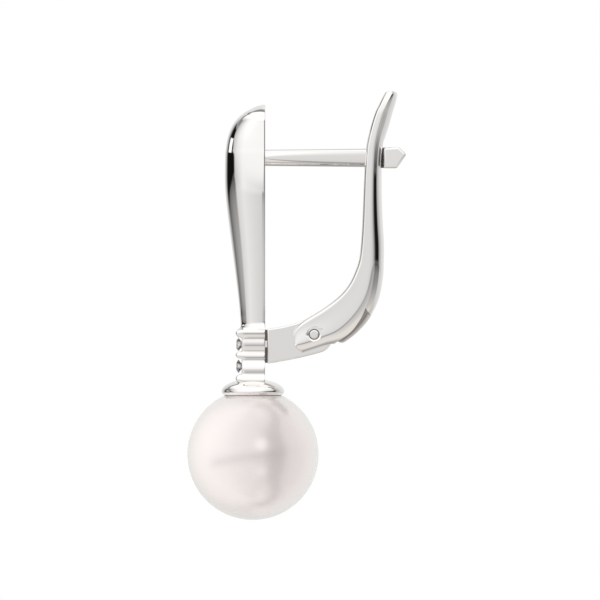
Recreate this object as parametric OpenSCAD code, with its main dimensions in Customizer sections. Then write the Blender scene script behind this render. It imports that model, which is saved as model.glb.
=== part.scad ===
// Pearl drop earring with a lever back.
// +Z is up, the front faces -Y, and the lever closes on the +Y side.
// The origin is the middle of the ear post, where the ear lobe sits. The part is symmetric about X = 0.

/* [Front plate] */
// Y of the flat back of the plate, the front wall of the ear gap
plate_back = -3.05; // [-3.3:0.05:-2.8]
// Scale of the plate's width, seen from the front
plate_width_k = 1; // [0.9:0.05:1.2]
// Small bevel along the edge of the flat back
plate_edge = 0.08; // [0.04:0.01:0.12]

/* [Stem] */
// Width of the three raised bars
bar_w = 1.9; // [1.8:0.05:2.2]
// Width of the seats between the bars
seat_w = 1.66; // [1.5:0.02:1.76]
// Y of the front of the bars
bar_front = -4.85; // [-5:0.01:-4.75]
// Y of the front of the seats, behind the stones
seat_front = -4.48; // [-4.55:0.01:-4.4]

/* [Stones] */
// Diameter of each round stone
stone_d = 0.82; // [0.7:0.01:0.82]
// Y of the stones' girdles
stone_girdle = -4.69; // [-4.7:0.01:-4.65]

/* [Pearl and cap] */
// Diameter of the pearl
pearl_d = 8; // [7.6:0.1:8.2]
// Diameter of the metal cap over the pearl
cap_d = 3.82; // [3.4:0.02:4]
// Diameter of the peg that the pearl is glued on
peg_d = 0.9; // [0.7:0.05:0.95]
// Depth of the peg's end below the pearl's crown
peg_depth = 4; // [3:0.1:5]

/* [Ear post] */
// Diameter of the post where it leaves the plate
post_d = 1.0; // [0.9:0.02:1.04]
// Height of the post where it enters the lever
post_end_h = 1.16; // [1.1:0.01:1.18]
// Thickness of the post between its two flats where it enters the lever
post_end_w = 0.76; // [0.7:0.01:0.8]

/* [Lever] */
// Width of the lever
lever_w = 2.4; // [2.3:0.05:2.6]
// Width of the slot that the post's head passes through
post_slot_w = 0.96; // [0.94:0.01:1]
// Width of the fork that holds the bracket
fork_w = 1.12; // [1.1:0.01:1.16]

/* [Hinge] */
// Thickness of the bracket's tongue
bracket_t = 1.0; // [0.9:0.01:1.02]
// Diameter of the pin's shank
pin_d = 0.44; // [0.4:0.01:0.46]
// Diameter of the pin's riveted heads
pin_head_d = 0.55; // [0.54:0.01:0.6]
// Running clearance round the pin in the fork, on the radius
pin_clearance = 0.03; // [0.02:0.01:0.04]

/* [Hidden] */
$fn = 48;
// Gap round the pin in the bracket, and round the pearl in its cap.
fit_gap = 0.01;
piece_gap = 0.03;
// How far a cut runs past a face, and how far joined metal runs into its neighbour.
cut = 1;
joined = 0.2;

silver = [0.86, 0.86, 0.85];
nacre = [0.94, 0.90, 0.89];
crystal = [0.80, 0.86, 0.92];

// The front plate, a row for each level: height, depth in front of the flat back, half width.
PLATE_Z = 0;
PLATE_DEPTH = 1;
PLATE_HALF = 2;
plate_rows = [
    [3.30, 0.12, 0.16],
    [3.22, 0.50, 0.52],
    [3.04, 0.93, 0.85],
    [2.79, 1.29, 1.09],
    [2.30, 1.80, 1.35],
    [1.82, 2.09, 1.49],
    [1.10, 2.32, 1.61],
    [0.00, 2.45, 1.70],
    [-1.60, 2.46, 1.74],
    [-3.06, 2.34, 1.70],
    [-5.01, 2.09, 1.54],
    [-7.45, 1.77, 1.24],
    [-9.00, 1.59, 1.05],
    [-10.70, 1.44, 0.90],
];
plate_steps = 3;
plate_arc_points = 14;

// The stem's raised bars and the seats between them, from the top down.
bar_tops = [-10.46, -11.82, -13.19];
bar_heights = [0.49, 0.41, 0.52];
bar_back = -3.06;
seat_back = -3.10;
stem_bottom = -13.86;
stone_levels = [-11.38, -12.71];
seat_bulge = 0.04;
seat_bulge_reach = 0.45;
lower_seat_flare = 0.09;
lower_seat_reach = 0.95;
groove_depth = 0.05;
groove_h = 0.09;
stem_steps = 24;

// Round brilliant cut, as shares of the stone's diameter. The girdle has two corners for each main facet.
crown_n = 8;
girdle_n = 2 * crown_n;
stone_r = stone_d / 2;
table_share = 0.56;
bezel_share = 0.80;
bezel_level = 0.55;
crown_h = 0.15 * stone_d;
pavilion_h = 0.42 * stone_d;
girdle_h = 0.03 * stone_d;
stone_hole_depth = 0.2;
stone_hole_r = 0.26;
stone_hole_tip_r = 0.06;

// The pearl hangs straight below the stem.
pearl_r = pearl_d / 2;
pearl_y = -3.80;
pearl_z = -14.08 - pearl_r;
cap_r = cap_d / 2;
cap_rim_z = -14.25;
cap_dome_h = 0.77;
cap_lip_r = 0.36;
cap_dome_step = 6;
cap_lip_step = 12;
cap_lip_last = 84;
peg_clearance = 0.05;
bore_depth = peg_depth + 0.3;

// The post's neck and pointed head.
post_end_y = 3.98;
head_start_y = 4.19;
head_w = 0.80;
head_edge = 0.08;
neck_h = 0.96;
neck_w = 0.56;
head_outline = [[head_start_y, 0.68], [5.09, 0.69], [5.55, 0.20], [4.96, -0.64], [head_start_y, -0.64]];

// The hinge's axis runs along X through this point.
hinge_y = -0.07;
hinge_z = -10.76;
pin_r = pin_d / 2;
pin_head_r = pin_head_d / 2;
pin_head_out = 1.15;
pin_head_t = 0.13;
fork_bore_r = pin_r + pin_clearance;
counterbore_r = 0.345;
counterbore_floor = pin_head_out - pin_head_t - 0.02;
countersink_r = 0.44;
countersink_depth = 0.09;

// The bracket, from the solder joint to the tongue's round end.
bracket_start = -2.945;
bracket_top = [[bracket_start, -10.43], [-1.97, -10.28], [-1.13, -10.05], [-0.75, -9.90]];
bracket_bottom = [[-0.10, -11.98], [-1.51, -12.31], [bracket_start, -12.56]];
tongue_r_top = 1.0;
tongue_r_end = 1.19;
// The tongue's end turns from the first angle to the last, and has its full radius from the middle one on.
tongue_angles = [110, -40, -60];
tongue_step = 10;
solder_top = -11.15;
solder_bottom = -11.56;
solder_t = 0.9;

// The lever, a row for each section: inner edge (y, z), outer edge (y, z),
// share of the full width, and where between the edges the section is widest.
INNER_Y = 0;
INNER_Z = 1;
OUTER_Y = 2;
OUTER_Z = 3;
WIDTH = 4;
WIDEST = 5;
lever_rows = [
    [4.29, 3.99, 4.98, 3.83, 0.72, 0.45],
    [4.07, 3.77, 4.88, 3.57, 0.80, 0.45],
    [3.82, 3.28, 4.75, 3.07, 0.87, 0.45],
    [3.58, 2.79, 4.63, 2.61, 0.93, 0.45],
    [3.40, 2.06, 4.45, 1.88, 0.98, 0.45],
    [3.23, 1.39, 4.27, 1.27, 1.00, 0.45],
    [3.10, 0.60, 4.14, 0.54, 1.00, 0.45],
    [3.01, -0.44, 4.07, -0.44, 1.00, 0.45],
    [2.95, -1.60, 4.055, -1.60, 1.00, 0.45],
    [2.90, -2.88, 4.08, -2.88, 1.00, 0.45],
    [2.85, -4.10, 4.13, -4.10, 1.00, 0.46],
    [2.78, -5.20, 4.20, -5.32, 1.00, 0.48],
    [2.67, -6.17, 4.18, -6.60, 1.00, 0.52],
    [2.45, -6.87, 4.12, -7.42, 1.00, 0.56],
    [2.06, -7.70, 3.82, -8.79, 1.00, 0.62],
    [1.45, -8.43, 3.02, -10.15, 1.00, 0.67],
    [0.53, -9.16, 1.87, -11.17, 1.00, 0.72],
    [-0.26, -9.65, 0.82, -11.40, 1.00, 0.77],
    [-0.78, -9.97, -0.08, -11.67, 1.00, 0.79],
    [-1.13, -10.26, -0.72, -11.88, 1.00, 0.80],
    [-1.335, -10.59, -1.085, -11.69, 1.00, 0.80],
    [-1.395, -10.84, -1.33, -11.32, 0.99, 0.80],
];
lever_steps = 2;
lever_arc_points = 7;
lever_edge = 0.07;
lever_inner_share = 0.93;
tip_share = 0.86;
tip_rise = [0, 0.03, 0.06];

// The slot for the post: its lower wall, and its upper wall, an arc about the hinge.
post_slot_bottom = -0.70;
post_slot_top_r = 12.64;
post_slot_from = 2.6;
post_slot_to = 4.8;
post_slot_step = 0.2;
// Radius about the hinge that the fork leaves free between its ears.
fork_r = 1.52;
fork_reach = 3;
// The line on the outer side of the ears that the central rib stands proud of.
rib_line = [
    [3.06, -9.16], [2.85, -9.65], [2.60, -10.06], [2.29, -10.48], [1.94, -10.80], [1.46, -11.13], [1.22, -11.27],
];
rib_step_end = [4.07, -10.62];
rib_cut_bottom = -12.4;

// A smooth curve through the rows of a table.
function between(a, b, c, d, t) = 0.5 * (2 * b + (c - a) * t + (2 * a - 5 * b + 4 * c - d) * t * t
    + (3 * b - a - 3 * c + d) * t * t * t);
function smooth_rows(rows, steps, last) = [
    for (i = [0 : last - 1], k = [0 : steps - 1])
        between(rows[max(i - 1, 0)], rows[i], rows[i + 1], rows[min(i + 2, last)], k / steps),
    rows[last],
];

// A closed solid over rings that all have the same number of points.
module loft(rings) {
    n = len(rings[0]);
    last = len(rings) - 1;
    sides = [
        for (i = [0 : last - 1], k = [0 : n - 1])
            let (a = i * n + k, b = i * n + (k + 1) % n)
            each [[a, a + n, b], [b, a + n, b + n]],
    ];
    first_end = [for (k = [0 : n - 1]) k];
    last_end = [for (k = [n - 1 : -1 : 0]) last * n + k];
    polyhedron(points = [for (ring = rings) each ring], faces = concat(sides, [first_end, last_end]));
}

// Extrudes an outline given in Y and Z to both sides of X = 0.
module across(half) {
    rotate([90, 0, 90]) translate([0, 0, -half]) linear_extrude(2 * half) children();
}

// Extrudes an outline given in X and Z along Y.
module along(from_y, to_y) {
    translate([0, to_y, 0]) rotate([90, 0, 0]) linear_extrude(to_y - from_y) children();
}

module cross_pin(r, half) {
    translate([-half, hinge_y, hinge_z]) rotate([0, 90, 0]) cylinder(r = r, h = 2 * half);
}

// One level of the front plate: a half ellipse in front of a flat back with bevelled edges.
function plate_ring(row) =
    let (
        half = row[PLATE_HALF] * plate_width_k,
        depth = row[PLATE_DEPTH],
        edge = min(plate_edge, depth / 3, half / 3),
        arc_back = plate_back - edge
    )
    concat(
        [[half - edge, plate_back, row[PLATE_Z]]],
        [
            for (k = [0 : plate_arc_points])
                let (a = 180 * k / plate_arc_points)
                [half * cos(a), arc_back - (depth - edge) * sin(a), row[PLATE_Z]],
        ],
        [[edge - half, plate_back, row[PLATE_Z]]]
    );

module plate() {
    rows = smooth_rows(plate_rows, plate_steps, len(plate_rows) - 1);
    loft([for (row = rows) plate_ring(row)]);
}

module bar(top, height) {
    r = height / 2;
    intersection() {
        along(bar_front - cut, bar_back) translate([0, top - r]) {
            square([bar_w - height, height], center = true);
            for (side = [-1, 1]) translate([side * (bar_w / 2 - r), 0]) circle(r);
        }
        across(bar_w) translate([0, top - r]) {
            translate([bar_front + r, 0]) circle(r);
            translate([bar_front + r, -r]) square([bar_back - bar_front - r + cut, height]);
        }
    }
}

// Half width of the stem between the bars: the upper seat bulges, the lower one widens downwards.
function seat_half(z) =
    z > bar_tops[1] ? seat_w / 2 + seat_bulge * (1 - pow((z - stone_levels[0]) / seat_bulge_reach, 2))
    : seat_w / 2 + lower_seat_flare * (1 - pow(min(0, bar_tops[2] - z) / lower_seat_reach, 2));

module stem_core() {
    top = bar_tops[0] - bar_heights[0] / 2;
    levels = [for (k = [0 : stem_steps]) top + (stem_bottom - top) * k / stem_steps];
    right = [for (z = levels) [seat_half(z), z]];
    left = [for (k = [stem_steps : -1 : 0]) [-seat_half(levels[k]), levels[k]]];
    groove_z = bar_tops[1] - bar_heights[1] - groove_h / 2;
    difference() {
        along(seat_front, seat_back) polygon(concat(right, left));
        for (side = [-1, 1])
            along(seat_front - cut, seat_back + cut) translate([side * (seat_w / 2 + groove_depth), groove_z])
                square([4 * groove_depth, groove_h], center = true);
    }
}

module cap() {
    dome = [for (a = [90 : -cap_dome_step : 0]) [cap_r * cos(a), cap_rim_z + cap_dome_h * sin(a)]];
    lip = [
        for (a = [-cap_lip_step : -cap_lip_step : -cap_lip_last])
            [cap_r - cap_lip_r + cap_lip_r * cos(a), cap_rim_z + cap_lip_r * sin(a)],
    ];
    translate([0, pearl_y, 0]) rotate_extrude() polygon(concat(dome, lip, [[0, cap_rim_z - cap_lip_r]]));
}

module peg() {
    top = cap_rim_z + cap_dome_h / 2;
    bottom = pearl_z + pearl_r - peg_depth;
    translate([0, pearl_y, bottom]) cylinder(d = peg_d, h = top - bottom);
}

module post_head() {
    hull() {
        across(head_w / 2 - head_edge) polygon(head_outline);
        across(head_w / 2) offset(delta = -head_edge) polygon(head_outline);
    }
}

module post() {
    root = plate_back - joined;
    length = post_end_y - root;
    intersection() {
        translate([0, root, 0]) rotate([-90, 0, 0]) cylinder(d1 = post_d, d2 = post_end_h, h = length);
        translate([0, 0, -cut]) linear_extrude(2 * cut) polygon([
            [-post_d / 2, root], [post_d / 2, root], [post_end_w / 2, post_end_y], [-post_end_w / 2, post_end_y],
        ]);
    }
    translate([-neck_w / 2, post_end_y - joined, -neck_h / 2])
        cube([neck_w, head_start_y - post_end_y + 2 * joined, neck_h]);
    post_head();
}

module bracket() {
    tongue = [
        for (a = [tongue_angles[0] : -tongue_step : tongue_angles[2]])
            let (
                share = max(0, a - tongue_angles[1]) / (tongue_angles[0] - tongue_angles[1]),
                r = tongue_r_end + (tongue_r_top - tongue_r_end) * share
            )
            [hinge_y + r * cos(a), hinge_z + r * sin(a)],
    ];
    across(bracket_t / 2) polygon(concat(bracket_top, tongue, bracket_bottom));
    translate([-solder_t / 2, seat_back - joined, solder_bottom])
        cube([solder_t, bracket_start - seat_back + 2 * joined, solder_top - solder_bottom]);
}

module front_frame() {
    color(silver) difference() {
        union() {
            plate();
            stem_core();
            for (k = [0 : 2]) bar(bar_tops[k], bar_heights[k]);
            cap();
            peg();
            post();
            bracket();
        }
        difference() {
            translate([0, pearl_y, pearl_z]) sphere(r = pearl_r + piece_gap, $fn = 96);
            translate([0, pearl_y, pearl_z]) cylinder(d = peg_d, h = pearl_r + cut);
        }
        for (z = stone_levels)
            translate([0, seat_front + stone_hole_depth, z]) rotate([90, 0, 0])
                cylinder(r1 = stone_hole_tip_r, r2 = stone_hole_r, h = stone_hole_depth);
        cross_pin(pin_r + fit_gap, bracket_t);
    }
}

module pearl() {
    color(nacre) translate([0, pearl_y, pearl_z]) difference() {
        sphere(r = pearl_r, $fn = 96);
        translate([0, 0, pearl_r - bore_depth]) cylinder(r = peg_d / 2 + peg_clearance, h = bore_depth + cut);
    }
}

// A round brilliant whose table faces the front: rings of points from the table to the point at the back.
module stone(z) {
    turn = 360 / crown_n;
    table = [for (k = [0 : crown_n - 1]) [table_share * stone_r, turn * k, -crown_h]];
    bezel = [for (k = [0 : crown_n - 1]) [bezel_share * stone_r, turn * (k + 0.5), -bezel_level * crown_h]];
    girdle_front = [for (k = [0 : girdle_n - 1]) [stone_r, turn * k / 2, -girdle_h / 2]];
    girdle_back = [for (k = [0 : girdle_n - 1]) [stone_r, turn * k / 2, girdle_h / 2]];
    rings = concat(table, bezel, girdle_front, girdle_back, [[0, 0, pavilion_h]]);
    points = [for (p = rings) [p[0] * cos(p[1]), stone_girdle + p[2], z + p[0] * sin(p[1])]];
    // The first point of each ring, and the point at the back.
    bezel_0 = crown_n;
    front_0 = bezel_0 + crown_n;
    back_0 = front_0 + girdle_n;
    tip = back_0 + girdle_n;
    stars = [for (k = [0 : crown_n - 1]) [k, (k + 1) % crown_n, bezel_0 + k]];
    mains = [
        for (k = [0 : crown_n - 1])
            let (before = bezel_0 + (k + crown_n - 1) % crown_n, g = front_0 + 2 * k)
            each [[k, bezel_0 + k, g], [k, g, before]],
    ];
    upper = [
        for (k = [0 : crown_n - 1])
            let (g = front_0 + 2 * k, next = front_0 + (2 * k + 2) % girdle_n)
            each [[bezel_0 + k, g + 1, g], [bezel_0 + k, next, g + 1]],
    ];
    band = [
        for (k = [0 : girdle_n - 1])
            let (g = front_0 + k, next = front_0 + (k + 1) % girdle_n)
            each [[g, next, g + girdle_n], [next, next + girdle_n, g + girdle_n]],
    ];
    back = [for (k = [0 : girdle_n - 1]) [back_0 + k, back_0 + (k + 1) % girdle_n, tip]];
    top = [[for (k = [crown_n - 1 : -1 : 0]) k]];
    color(crystal) polyhedron(points = points, faces = concat(top, stars, mains, upper, band, back));
}

module stone_upper() {
    stone(stone_levels[0]);
}

module stone_lower() {
    stone(stone_levels[1]);
}

module hinge_pin() {
    color(silver) union() {
        cross_pin(pin_r, pin_head_out - pin_head_t / 2);
        for (side = [-1, 1])
            translate([side * (pin_head_out - pin_head_t / 2), 0, 0])
                cross_pin(pin_head_r, pin_head_t / 2);
    }
}

// One section of the lever: a flat inner face, drafted sides and a domed outer face.
function lever_half(row) =
    let (
        half = lever_w / 2 * row[WIDTH],
        widest = row[WIDEST],
        thick = norm([row[OUTER_Y] - row[INNER_Y], row[OUTER_Z] - row[INNER_Z]])
    )
    concat(
        [[0, half * lever_inner_share - lever_edge], [lever_edge / thick, half * lever_inner_share]],
        [
            for (k = [0 : lever_arc_points])
                let (a = 90 * k / lever_arc_points)
                [widest + (1 - widest) * sin(a), half * cos(a)],
        ]
    );

function lever_point(row, share, x) = [
    x,
    row[INNER_Y] + (row[OUTER_Y] - row[INNER_Y]) * share,
    row[INNER_Z] + (row[OUTER_Z] - row[INNER_Z]) * share,
];

function lever_ring(row) =
    let (side = lever_half(row), last = len(side) - 1)
    concat(
        [for (p = side) lever_point(row, p[0], p[1])],
        [for (k = [last - 1 : -1 : 0]) lever_point(row, side[k][0], -side[k][1])]
    );

module lever_arm() {
    rows = smooth_rows(lever_rows, lever_steps, len(lever_rows) - 1);
    tip = lever_ring(rows[0]);
    middle = lever_point(rows[0], 0.5, 0);
    rounded_tip = [for (p = tip) middle + tip_share * (p - middle) + tip_rise];
    loft(concat([rounded_tip], [for (row = rows) lever_ring(row)]));
}

module post_slot() {
    arc = [
        for (y = [post_slot_from : post_slot_step : post_slot_to])
            [y, hinge_z + sqrt(pow(post_slot_top_r, 2) - pow(y - hinge_y, 2))],
    ];
    bottom = [[post_slot_to, post_slot_bottom], [post_slot_from, post_slot_bottom]];
    across(post_slot_w / 2) polygon(concat(bottom, arc));
}

module fork_space() {
    cross_pin(fork_r, fork_w / 2);
    translate([-fork_w / 2, hinge_y - fork_reach, hinge_z - fork_reach]) cube([fork_w, fork_reach, 2 * fork_reach]);
}

module rib_sides() {
    foot_y = rib_line[len(rib_line) - 1][0];
    bottom = [[foot_y, rib_cut_bottom], [rib_step_end[0], rib_cut_bottom]];
    for (side = [-1, 1])
        translate([side * (fork_w + lever_w) / 2, 0, 0])
            across(lever_w / 2) polygon(concat([rib_step_end], rib_line, bottom));
}

module pin_seats() {
    cross_pin(fork_bore_r, lever_w);
    for (side = [-1, 1]) {
        translate([side * (counterbore_floor + lever_w / 2), 0, 0]) cross_pin(counterbore_r, lever_w / 2);
        translate([side * (pin_head_out - countersink_depth / 2), hinge_y, hinge_z]) rotate([0, side * 90, 0])
            cylinder(r1 = counterbore_r, r2 = countersink_r, h = countersink_depth);
    }
}

module lever() {
    color(silver) difference() {
        lever_arm();
        post_slot();
        fork_space();
        rib_sides();
        pin_seats();
    }
}

front_frame();
pearl();
stone_upper();
stone_lower();
hinge_pin();
lever();
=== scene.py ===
# %% [markdown]
# # A pearl drop earring with a lever back
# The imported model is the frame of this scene. It holds the true sizes, the hinge and the two bodies: the front
# with its pearl, and the lever. What we add here is the look: smooth mirror metal, nacre and cut stones.
# Everything is in metres, so lengths given in millimetres go through MM.

# %% Load the frame
import math

import bmesh
import bpy
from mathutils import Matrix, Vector


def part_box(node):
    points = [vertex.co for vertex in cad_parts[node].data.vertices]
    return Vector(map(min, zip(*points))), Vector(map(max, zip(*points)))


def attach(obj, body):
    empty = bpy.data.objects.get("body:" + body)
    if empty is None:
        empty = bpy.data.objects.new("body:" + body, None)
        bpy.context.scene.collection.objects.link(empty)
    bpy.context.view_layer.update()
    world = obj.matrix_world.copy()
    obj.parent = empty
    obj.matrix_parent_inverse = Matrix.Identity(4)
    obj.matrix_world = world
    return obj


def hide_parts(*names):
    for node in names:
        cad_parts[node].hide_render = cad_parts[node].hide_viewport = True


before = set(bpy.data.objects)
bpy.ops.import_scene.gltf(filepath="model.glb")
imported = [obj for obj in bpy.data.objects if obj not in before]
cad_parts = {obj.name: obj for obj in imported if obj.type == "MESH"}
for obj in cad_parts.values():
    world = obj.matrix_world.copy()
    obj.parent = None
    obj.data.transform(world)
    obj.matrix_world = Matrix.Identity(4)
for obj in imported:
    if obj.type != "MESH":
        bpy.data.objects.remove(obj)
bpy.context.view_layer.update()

MM = 0.001

# %% [markdown]
# ## The camera
# The photo is a pure side view through a long lens, so the camera stands on the +X side, level with the object.
# The ear post is 1.0 mm thick there and 16.4 pixels high, and that scale sets the lens.

# %% Camera
PHOTO_PIXELS = 600
PIXELS_PER_MM = 16.4
ORIGIN_PIXEL = (315.3, 157.8)
CAMERA_DISTANCE = 0.6
SENSOR_WIDTH = 36

picture_width = PHOTO_PIXELS / PIXELS_PER_MM * MM
picture_y = (PHOTO_PIXELS / 2 - ORIGIN_PIXEL[0]) / PIXELS_PER_MM * MM
picture_z = (ORIGIN_PIXEL[1] - PHOTO_PIXELS / 2) / PIXELS_PER_MM * MM
bpy.ops.object.camera_add(
    location=(CAMERA_DISTANCE, picture_y, picture_z),
    rotation=(math.radians(90), 0, math.radians(90)),
)
camera = bpy.context.object
camera.name = "photo_camera"
camera.data.sensor_width = SENSOR_WIDTH
camera.data.lens = SENSOR_WIDTH * CAMERA_DISTANCE / picture_width
camera.data.clip_start = 0.01
bpy.context.scene.camera = camera
bpy.context.scene.view_settings.view_transform = "Standard"
print("lens in mm:", round(camera.data.lens))

# %% [markdown]
# ## Modelling helpers
# A mirror shows every dent, so the curved metal is made as subdivision surfaces. Each one is a loft: a
# section is drawn at every station, one vertex extruded from point to point as by hand, and the sections are
# bridged. A subdivided cage runs a little inside its own points, so the stations are moved out by what they
# would lose.

# %% Starting and selecting
def start(name, kind, **settings):
    """Adds a primitive with nothing else selected, names it and opens it in edit mode."""
    if bpy.context.mode != "OBJECT":
        bpy.ops.object.mode_set(mode="OBJECT")
    bpy.ops.object.select_all(action="DESELECT")
    getattr(bpy.ops.mesh, f"primitive_{kind}_add")(**settings)
    piece = bpy.context.object
    piece.name = piece.data.name = name
    bpy.ops.object.mode_set(mode="EDIT")
    bpy.ops.mesh.select_mode(type="VERT")
    return piece


def pick(test, what="VERT"):
    """Selects the vertices, edges or faces of the mesh in edit mode whose middle passes the test."""
    piece = bpy.context.object
    bpy.ops.mesh.select_mode(type=what)
    bpy.ops.mesh.select_all(action="DESELECT")
    mesh = bmesh.from_edit_mesh(piece.data)
    for part in {"VERT": mesh.verts, "EDGE": mesh.edges, "FACE": mesh.faces}[what]:
        if what == "VERT":
            middle = part.co
        else:
            middle = sum((v.co for v in part.verts), Vector()) / len(part.verts)
        if test(part, middle):
            part.select_set(True)
    bmesh.update_edit_mesh(piece.data)


# %% Finishing a piece
def hold(piece):
    """Makes a piece the only selected one and the active one, in object mode."""
    if bpy.context.mode != "OBJECT":
        bpy.ops.object.mode_set(mode="OBJECT")
    bpy.ops.object.select_all(action="DESELECT")
    piece.select_set(True)
    bpy.context.view_layer.objects.active = piece


def modify(piece, kind, **settings):
    """Adds a modifier to a piece and applies it."""
    hold(piece)
    modifier = piece.modifiers.new(kind.lower(), kind)
    for setting, value in settings.items():
        setattr(modifier, setting, value)
    bpy.ops.object.modifier_apply(modifier=modifier.name)


def smooth(piece, angle=180):
    """Smooth shading over all edges that turn by less than the angle, with flat faces kept flat."""
    hold(piece)
    bpy.ops.object.shade_smooth_by_angle(angle=math.radians(angle))
    if angle < 180:
        modify(piece, "WEIGHTED_NORMAL", keep_sharp=True)


def place(piece, body, node, material):
    """The piece stands for a CAD node, moves with a body and gets its finish."""
    piece.data.materials.clear()
    piece.data.materials.append(material)
    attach(piece, body)
    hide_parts(node)
    print(piece.name, len(piece.data.polygons), "faces on", body)


# %% Drawing and lofting
# Points closer than this, in metres, are one point.
SAME_PLACE = 1e-7


def draw(points, closed=True):
    """Draws a line in edit mode, one vertex extruded from point to point, and closes it to an outline."""
    bpy.ops.mesh.primitive_plane_add(size=MM)
    bpy.ops.mesh.merge(type="CENTER")
    bpy.ops.transform.translate(value=points[0])
    for here, there in zip(points, points[1:]):
        bpy.ops.mesh.extrude_region_move(TRANSFORM_OT_translate={"value": there - here})
    if closed:
        ends = points[0], points[-1]
        pick(lambda vertex, at: min((at - end).length for end in ends) < SAME_PLACE)
        bpy.ops.mesh.edge_face_add()


def moved_out(before, here, after):
    """Where a cage point has to be so that the subdivided surface passes through here."""
    return (here * 8 - before - after) / 6


def loft(name, rings, levels):
    """A closed tube over sections that have the same number of points, in millimetres."""
    piece = start(name, "plane", size=MM)
    bpy.ops.mesh.delete(type="VERT")
    if levels:
        inner = [
            [moved_out(*points) for points in zip(before, here, after)]
            for before, here, after in zip(rings, rings[1:], rings[2:])
        ]
        rings = [rings[0]] + inner + [rings[-1]]
    for ring in rings:
        draw([Vector(point) * MM for point in ring])
    bpy.ops.mesh.select_all(action="SELECT")
    bpy.ops.mesh.bridge_edge_loops()
    bpy.ops.mesh.select_all(action="DESELECT")
    bpy.ops.mesh.select_non_manifold()
    bpy.ops.mesh.edge_face_add()
    bpy.ops.mesh.select_all(action="SELECT")
    bpy.ops.mesh.normals_make_consistent(inside=False)
    bpy.ops.object.mode_set(mode="OBJECT")
    if levels:
        modify(piece, "SUBSURF", levels=levels, render_levels=levels)
    return piece


# Steps of a full turn, for the large pieces and for the pin and its seats.
LARGE_TURN, SMALL_TURN = 128, 64


def turned(name, profile, centre, axis="Z", steps=LARGE_TURN):
    """A profile of (radius, place along the axis) in millimetres, spun round the axis."""
    along, out = {
        "X": (Vector((1, 0, 0)), Vector((0, 0, 1))),
        "Z": (Vector((0, 0, 1)), Vector((1, 0, 0))),
    }[axis]
    piece = start(name, "plane", size=MM)
    bpy.ops.mesh.delete(type="VERT")
    draw([(Vector(centre) + out * radius + along * height) * MM for radius, height in profile], closed=False)
    bpy.ops.mesh.select_all(action="SELECT")
    bpy.ops.mesh.spin(steps=steps, angle=math.tau, center=Vector(centre) * MM, axis=along)
    bpy.ops.mesh.select_all(action="SELECT")
    bpy.ops.mesh.remove_doubles(threshold=SAME_PLACE)
    bpy.ops.mesh.normals_make_consistent(inside=False)
    bpy.ops.object.mode_set(mode="OBJECT")
    return piece


# Degrees past which an edge is bevelled. The two faces that look this squarely along X get a loop inside the
# bevel, which keeps them flat.
BEVEL_TURN = 40
SIDE_FACING = 0.9999
SUPPORT_LOOP = 0.01


def slab(name, outline, half, bevel=0, segments=3):
    """An outline in Y and Z, extruded to both sides of X = 0. Its edges can be bevelled."""
    piece = start(name, "plane", size=MM)
    bpy.ops.mesh.delete(type="VERT")
    draw([Vector((-half, y, z)) * MM for y, z in outline])
    bpy.ops.mesh.select_all(action="SELECT")
    bpy.ops.mesh.edge_face_add()
    bpy.ops.mesh.extrude_region_move(TRANSFORM_OT_translate={"value": (2 * half * MM, 0, 0)})
    bpy.ops.mesh.select_all(action="SELECT")
    bpy.ops.mesh.normals_make_consistent(inside=False)
    bpy.ops.object.mode_set(mode="OBJECT")
    if bevel:
        turn = math.radians(BEVEL_TURN)
        modify(piece, "BEVEL", width=bevel * MM, segments=segments, limit_method="ANGLE", angle_limit=turn)
        bpy.ops.object.mode_set(mode="EDIT")
        pick(lambda face, middle: abs(face.normal.x) > SIDE_FACING, "FACE")
        bpy.ops.mesh.inset(thickness=SUPPORT_LOOP * MM)
        bpy.ops.object.mode_set(mode="OBJECT")
    return piece


def curved(points, steps=4):
    """A smooth line through given points."""
    line = []
    padded = [points[0]] + list(points) + [points[-1]]
    for a, b, c, d in zip(padded, padded[1:], padded[2:], padded[3:]):
        a, b, c, d = (Vector(p) for p in (a, b, c, d))
        for k in range(steps):
            t = k / steps
            line.append(((b * 2 + (c - a) * t + (a * 2 - b * 5 + c * 4 - d) * t * t
                          + (b * 3 - a - c * 3 + d) * t * t * t) / 2))
    return [tuple(p) for p in line] + [tuple(points[-1])]


def carve(piece, cutter):
    """Cuts the shape of one mesh out of another."""
    modify(piece, "BOOLEAN", object=cutter, operation="DIFFERENCE", solver="EXACT")
    bpy.data.objects.remove(cutter)


# %% [markdown]
# ## Shader maths
# A material is written as Python expressions. Value wraps a socket, and + - * / on values add the Math nodes
# that work them out. Every other node comes from the one method node(), which takes its type, settings and
# sockets.

# %% Expressions as nodes
class Value:
    """A socket of a node tree that can be used in an expression."""

    def __init__(self, tree, socket):
        self.tree, self.socket = tree, socket

    def math(self, operation, first, second):
        return self.tree.node("Math", {"operation": operation}, {0: first, 1: second})

    def __add__(self, other):
        return self.math("ADD", self, other)

    def __sub__(self, other):
        return self.math("SUBTRACT", self, other)

    def __rsub__(self, other):
        return self.math("SUBTRACT", other, self)

    def __mul__(self, other):
        return self.math("MULTIPLY", self, other)

    def __truediv__(self, other):
        return self.math("DIVIDE", self, other)

    __radd__, __rmul__ = __add__, __mul__


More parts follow.
